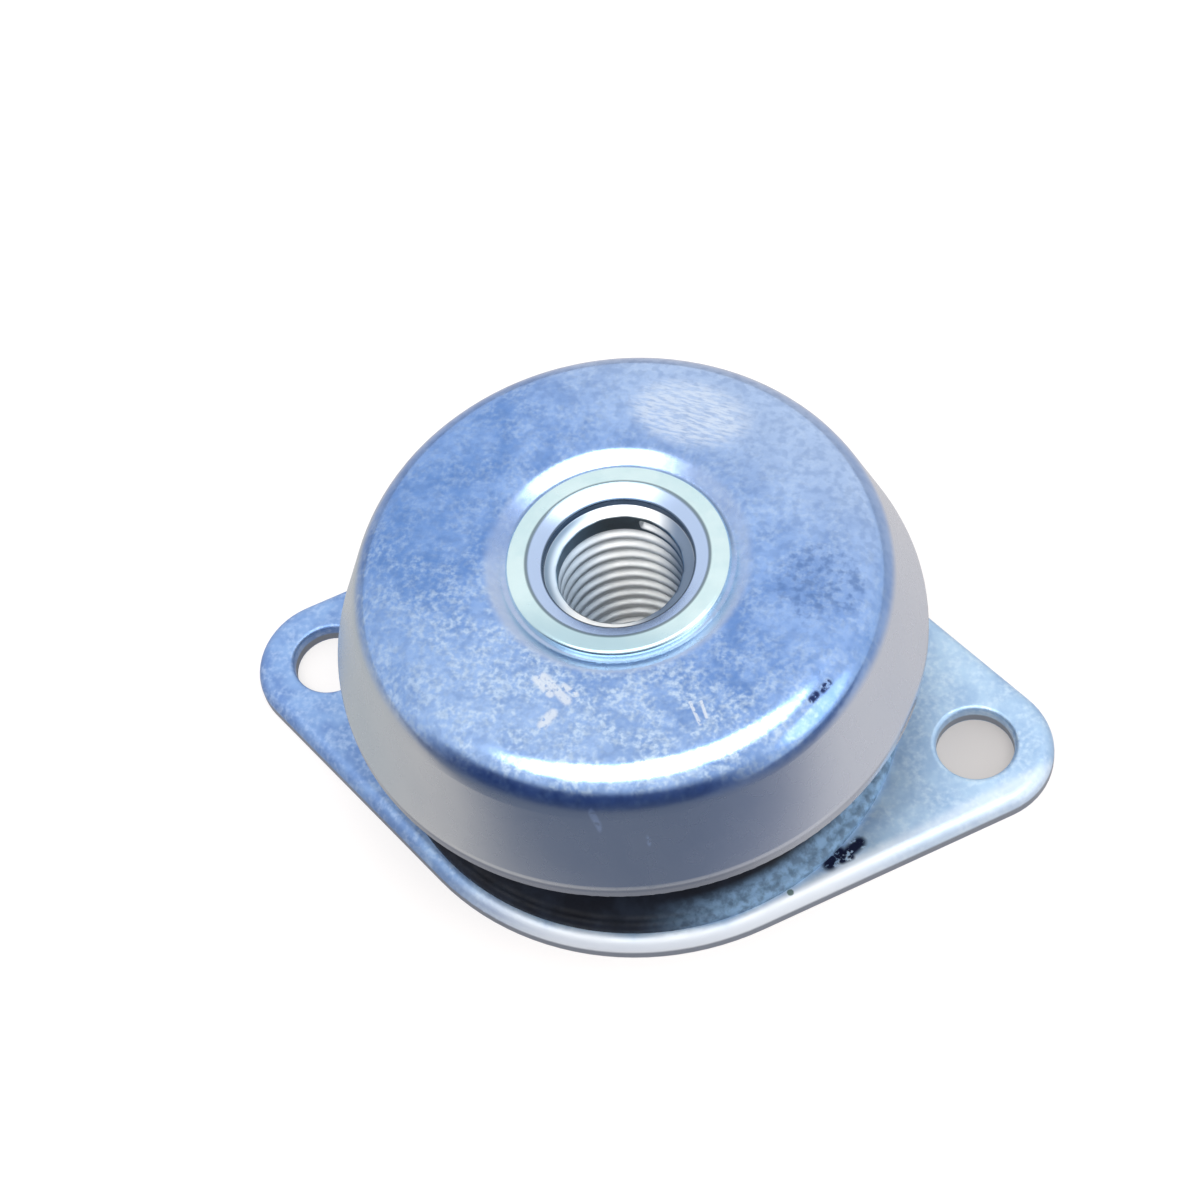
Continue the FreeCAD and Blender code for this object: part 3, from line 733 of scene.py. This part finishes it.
def plate_finish():
    """Pale blue zinc plate of the base plate, painted lighter to the right and bluer and darker to
    the left, with a painted highlight along its front edge, painted shade on its side wall, a
    smudge of marking ink and a spot.
    """
    finish = Finish("zinc_plate")
    pale = plating(finish, PLATE_LIT_TINTS, 0.6)
    blue = plating(finish, PLATE_SHADED_TINTS, 0.6)
    # Painted light and shade: a lighter copy of the plating to the right, a bluer, darker copy to
    # the left.
    body = finish.mix(finish.span(finish.across, -36.0, 4.0), blue, pale)
    reach = finish.ahead(NEAR)
    for turn in EDGE_TURNS:
        beside = finish.ahead((math.sin(turn), -math.cos(turn)))
        reach = finish.maths("MAXIMUM", reach, beside)
    # Painted highlight along the front edge, less metallic so that it stays white.
    edge_highlight = finish.span(reach, *(PLATE_HIGH.y - inset for inset in EDGE_HIGHLIGHT_BAND))
    edge_highlight = finish.times(edge_highlight, finish.side(RIGHT, -20.0, -2.0))
    edge_highlight = finish.times(edge_highlight, finish.span(finish.across, 24.0, 36.0, 1.0, 0.4))
    body = finish.mix(edge_highlight, body, PLATE_EDGE_HIGHLIGHT)
    body = finish.mix(finish.spot(SPOT_CENTRE, SPOT_REACH, 0.3), body, PLATE_SPOT)
    body = finish.mix(finish.strokes(INK_SMEARS, 0.34, 0.46), body, INK)
    # Painted shade: the plate's side wall grey.
    rolled_heights = (PLATE_FACE - drop for drop in ROLLED_BAND)
    rolled = finish.span(finish.height, *rolled_heights, 1.0, 0.0)
    above = finish.span(finish.height, PLATE_LOW.z, PLATE_LOW.z + 0.15)
    body = finish.mix(finish.times(rolled, above), body, PLATE_SIDE_PAINTED_SHADE)
    metal(finish, body, uneven(finish, PLATE_ROUGHNESS))
    less = finish.times(edge_highlight, EDGE_HIGHLIGHT_LESS_METALLIC)
    metallic = finish.maths("SUBTRACT", PLATE_METALLIC, less)
    finish.feed(finish.shader.inputs["Metallic"], metallic)
    return finish.material


def bush_finish():
    """Pale zinc plate of the bush, whiter in its bore; painted shade on its near side, the
    countersink's rims, the first land, the bore's right and the counterbore's left wall; painted
    light on the bore's left.
    """
    finish = Finish("zinc_bush")
    body = finish.shade(plating(finish, BUSH_TINTS, 0.2), BUSH_PAINTED_SHADE)
    cone = finish.span(finish.radius, SINK_RADIUS - 0.2, SINK_RADIUS, 1.0, 0.0)
    body = finish.mix(cone, body, BUSH_CONE)
    # Painted shade: dark lines along the countersink's two rims.
    from_sink = finish.maths("SUBTRACT", finish.radius, SINK_RADIUS)
    from_relief = finish.maths("SUBTRACT", finish.radius, RELIEF_RADIUS + 0.05)
    sink_rim = finish.span(finish.maths("ABSOLUTE", from_sink), 0.05, 0.3, 0.75, 0.0)
    relief_rim = finish.span(finish.maths("ABSOLUTE", from_relief), 0.08, 0.25, 0.95, 0.0)
    rims = finish.maths("MAXIMUM", sink_rim, relief_rim)
    top = finish.span(finish.height, BUSH_HIGH.z - 2.2, BUSH_HIGH.z - 1.9)
    body = finish.mix(finish.times(rims, top), body, BUSH_RIM_PAINTED_SHADE)
    inside = finish.span(finish.radius, RELIEF_RADIUS - 0.1, RELIEF_RADIUS, 1.0, 0.0)
    body = finish.mix(inside, body, BUSH_INSIDE)
    # Painted shade: a dark band on the thread's first land.
    land = finish.span(finish.radius, THREAD_CREST + 0.05, THREAD_CREST + 0.15, 0.9, 0.0)
    first_turn = finish.span(finish.height, LAND_LOW - 0.3, LAND_LOW)
    body = finish.mix(finish.times(land, first_turn), body, BUSH_LAND_PAINTED_SHADE)
    # Painted light on the left of the bore and painted shade on its right.
    body = finish.shade(body, BORE_PAINTED_LIGHT_AND_SHADE, inside)
    # Painted shade on the left of the counterbore's wall.
    relief = finish.span(finish.height, BUSH_HIGH.z - 2.3, BUSH_HIGH.z - 2.0)
    body = finish.shade(body, RELIEF_PAINTED_SHADE, finish.times(relief, inside))
    duller = finish.times(inside, BORE_ROUGHER)
    return metal(finish, body, finish.maths("ADD", uneven(finish, BUSH_ROUGHNESS), duller))


def rubber_finish():
    """Black moulded rubber with a dull bloom, and a patchy pale blue painted sheen low on the
    right-hand side of its foot.
    """
    finish = Finish("rubber_black")
    bloom = finish.span(finish.noise(5.0, 4.0, 0.6), 0.4, 0.75)
    tint = finish.mix(bloom, *RUBBER_TINTS)
    shelf = PLATE_SHEET + FOOT_EDGE
    low = finish.span(finish.height, shelf + 0.2, shelf + 1.6, 1.0, 0.0)
    patchy = finish.span(finish.noise(1.2, 3.0, 0.6), 0.35, 0.65, 0.5, 1.0)
    # Painted reflection: a pale blue sheen low on the right of the foot.
    painted_sheen = finish.times(finish.times(low, finish.side(RIGHT, 5.0, 18.0)), patchy)
    tint = finish.mix(painted_sheen, tint, RUBBER_PAINTED_SHEEN)
    finish.feed(finish.shader.inputs["Base Color"], tint)
    finish.shader.inputs["Specular IOR Level"].default_value = RUBBER_SPECULAR
    gloss = finish.span(finish.noise(1.5, 3.0, 0.6), 0.3, 0.7, *RUBBER_ROUGHNESS)
    finish.feed(finish.shader.inputs["Roughness"], gloss)
    grain = finish.noise(0.4, 3.0, 0.6)
    finish.feed(finish.shader.inputs["Normal"], finish.bump(grain, 0.3, 0.03))
    return finish.material


def dress(made, material):
    """Give an object one material."""
    made.data.materials.clear()
    made.data.materials.append(material)


def mirrored_rays(graph, path):
    """1 for a ray that metal or glass sends on."""
    glossy, through = path.outputs["Is Glossy Ray"], path.outputs["Is Transmission Ray"]
    return graph.maths("MAXIMUM", glossy, through)


def build_floor(shape):
    """One large level face."""
    signs = ((-1, -1), (1, -1), (1, 1), (-1, 1))
    corners = [shape.verts.new((x * FLOOR_REACH, y * FLOOR_REACH, 0)) for x, y in signs]
    shape.faces.new(corners)


def make_floor():
    """Pale floor that stays white to the camera and keeps the shadow of the mount."""
    floor = new_mesh("floor", build_floor)
    floor.location.z = (PLATE_LOW.z - FLOOR_GAP) * MM
    paper = Finish("floor_paper")
    ahead = paper.ahead((math.sin(FLOOR_AZIMUTH), -math.cos(FLOOR_AZIMUTH)))
    reaches = (FLOOR_NEAR_REACH, FLOOR_FAR_REACH)
    # Painted shade: the floor darker beyond the near reach in front.
    far = paper.span(ahead, *reaches)
    paper.feed(paper.shader.inputs["Base Color"], paper.mix(far, FLOOR_NEAR, FLOOR_FAR_PAINTED_SHADE))
    paper.shader.inputs["Roughness"].default_value = FLOOR_ROUGHNESS
    paper.shader.inputs["Specular IOR Level"].default_value = 0.0
    hole = paper.vector("DISTANCE", paper.place, (PLATE_HIGH.x - EAR_RADIUS, 0.0, 0.0))
    outside = paper.span(hole, HOLE_RADIUS, HOLE_RADIUS + 1.5, FLOOR_FILL_HOLE, 1.0)
    fill = paper.span(ahead, *reaches, FLOOR_FILL_NEAR, FLOOR_FILL_FAR)
    path = paper.add("ShaderNodeLightPath")
    seen = paper.times(path.outputs["Is Camera Ray"], paper.times(outside, fill))
    glow = paper.span(ahead, *reaches, FLOOR_MIRRORED, 0.0)
    mirrored = paper.times(mirrored_rays(paper, path), glow)
    paper.shader.inputs["Emission Color"].default_value = (1.0, 1.0, 1.0, 1.0)
    paper.feed(paper.shader.inputs["Emission Strength"], paper.maths("ADD", seen, mirrored))
    dress(floor, paper.material)


def make_camera():
    """The camera stands where the photograph was taken."""
    toward = Vector((
        math.sin(CAMERA_AZIMUTH) * math.cos(CAMERA_ELEVATION),
        -math.cos(CAMERA_AZIMUTH) * math.cos(CAMERA_ELEVATION),
        math.sin(CAMERA_ELEVATION),
    ))
    right = (-toward).cross(Vector((0, 0, 1))).normalized()
    up = toward.cross(right)
    axes = Matrix((right, up, toward)).transposed() @ Matrix.Rotation(CAMERA_ROLL, 3, "Z")
    data = bpy.data.cameras.new("camera")
    data.sensor_width = CAMERA_SENSOR
    data.lens = CAMERA_LENS
    data.clip_start = CAMERA_NEAR * MM
    camera = bpy.data.objects.new("camera", data)
    place = (CAMERA_AIM + toward * CAMERA_DISTANCE) * MM
    camera.matrix_world = Matrix.Translation(place) @ axes.to_4x4()
    bpy.context.scene.collection.objects.link(camera)
    bpy.context.scene.camera = camera


def lamp(name, azimuth, elevation, distance, size, radiance, tint):
    """Soft elliptical lamp facing the mount, from an azimuth and elevation in degrees."""
    a, e = math.radians(azimuth), math.radians(elevation)
    toward = Vector((math.sin(a) * math.cos(e), -math.cos(a) * math.cos(e), math.sin(e)))
    data = bpy.data.lights.new(name, "AREA")
    data.shape = "ELLIPSE"
    data.size, data.size_y = (side * MM for side in size)
    data.energy = radiance * math.pi * (math.pi / 4 * data.size * data.size_y)
    data.color = tint
    made = bpy.data.objects.new(name, data)
    made.location = toward * distance * MM
    made.rotation_mode = "QUATERNION"
    made.rotation_quaternion = toward.to_track_quat("Z", "Y")
    bpy.context.scene.collection.objects.link(made)


def make_world():
    """Pale room with a darker side; the camera sees plain white, and metal does past that side."""
    world = bpy.data.worlds.new("studio")
    world.use_nodes = True
    bpy.context.scene.world = world
    room = Graph(world.node_tree)
    background = room.tree.nodes["Background"]
    direction = room.add("ShaderNodeTexCoord").outputs["Generated"]
    dark_side = (math.sin(DARK_AZIMUTH), -math.cos(DARK_AZIMUTH), 0.0)
    facing = room.vector("DOT_PRODUCT", direction, dark_side)
    height = room.parts(direction)[2]
    rise = room.maths("SUBTRACT", height, room.times(facing, DARK_SLOPE))
    dark = room.times(room.span(facing, *DARK_FACING), room.span(rise, *DARK_RISE, 1.0, 0.0))
    path = room.add("ShaderNodeLightPath")
    mirrored = room.times(mirrored_rays(room, path), room.maths("SUBTRACT", 1.0, dark))
    plain = room.maths("MAXIMUM", path.outputs["Is Camera Ray"], mirrored)
    seen = room.mix(dark, ROOM_PALE, ROOM_DARK)
    room.feed(background.inputs["Color"], room.mix(plain, seen, (255, 255, 255)))


def dress_cad():
    """Finishes for the CAD nodes that show."""
    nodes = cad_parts
    dress(nodes["base_plate"], plate_finish())
    dress(nodes["bell_cap"], bell_finish())


def view_settings():
    """Show colours as they are written."""
    bpy.context.scene.view_settings.view_transform = "Standard"


make_camera()
make_floor()
make_world()
for settings in LAMPS:
    lamp(*settings)
dress_cad()
dress(make_bush(), bush_finish())
dress(make_rubber(), rubber_finish())
view_settings()
